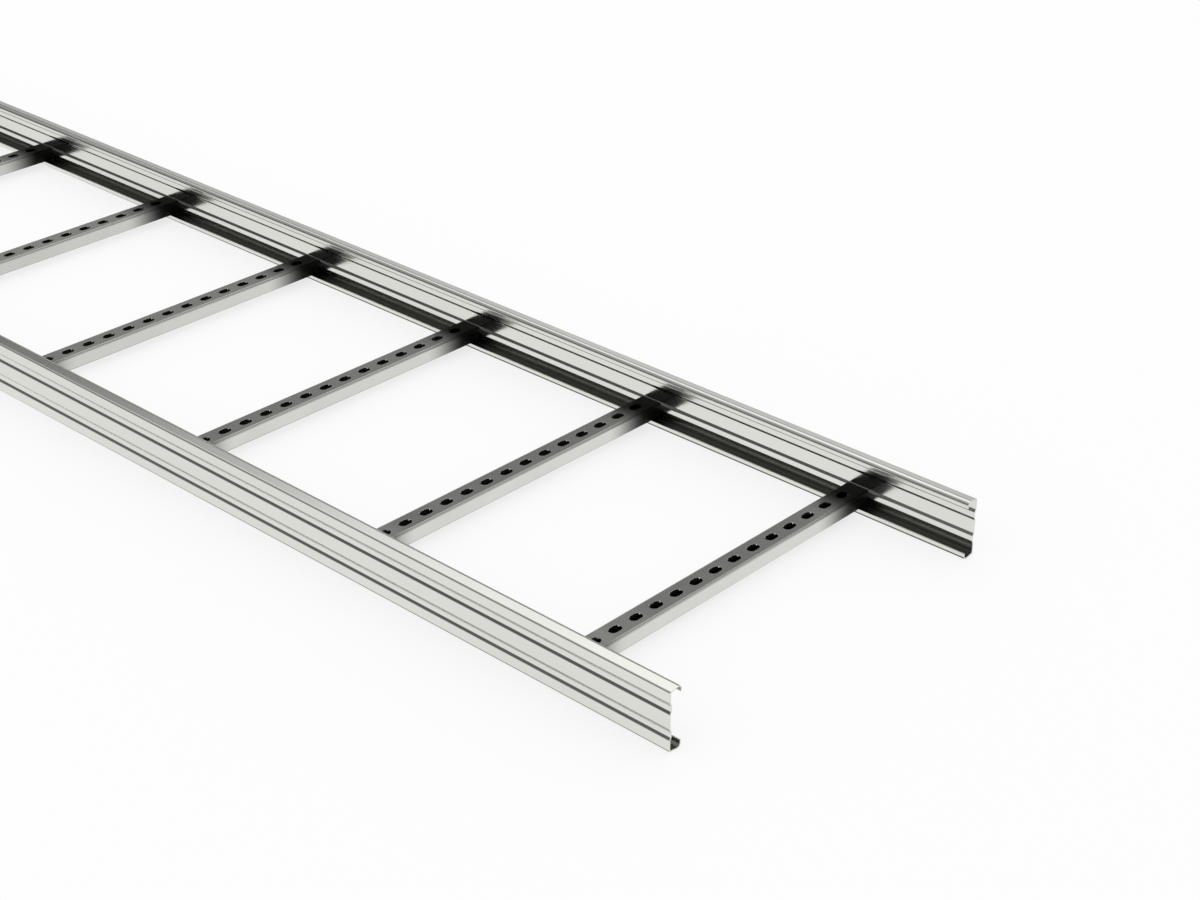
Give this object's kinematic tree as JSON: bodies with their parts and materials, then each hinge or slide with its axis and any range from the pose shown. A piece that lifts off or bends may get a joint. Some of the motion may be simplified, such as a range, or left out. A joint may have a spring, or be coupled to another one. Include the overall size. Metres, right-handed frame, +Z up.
{
  "type": "cable ladder section",
  "caption": "Straight cable ladder section: two roll-formed channel side rails with pressed beads, joined by slotted cross rungs that carry the cables.",
  "frame": {"origin": "centre of the underside, midway between the rails and between the ends", "axes": "+X along the ladder towards the end that the picture shows, +Y across it towards the back rail, +Z up"},
  "size_m": [3, 0.4, 0.058],
  "materials": {
    "rail_steel": "pre-galvanised sheet steel, roll-formed, light semi-gloss zinc",
    "rung_steel": "pre-galvanised sheet steel, punched and roll-formed, light semi-gloss zinc"
  },
  "bodies": {
    "root": {"side_rail_front": "rail_steel", "side_rail_back": "rail_steel", "rung_01": "rung_steel", "rung_02": "rung_steel", "rung_03": "rung_steel", "rung_04": "rung_steel", "rung_05": "rung_steel", "rung_06": "rung_steel", "rung_07": "rung_steel", "rung_08": "rung_steel", "rung_09": "rung_steel", "rung_10": "rung_steel", "rung_11": "rung_steel", "rung_12": "rung_steel"}
  },
  "joints": []
}
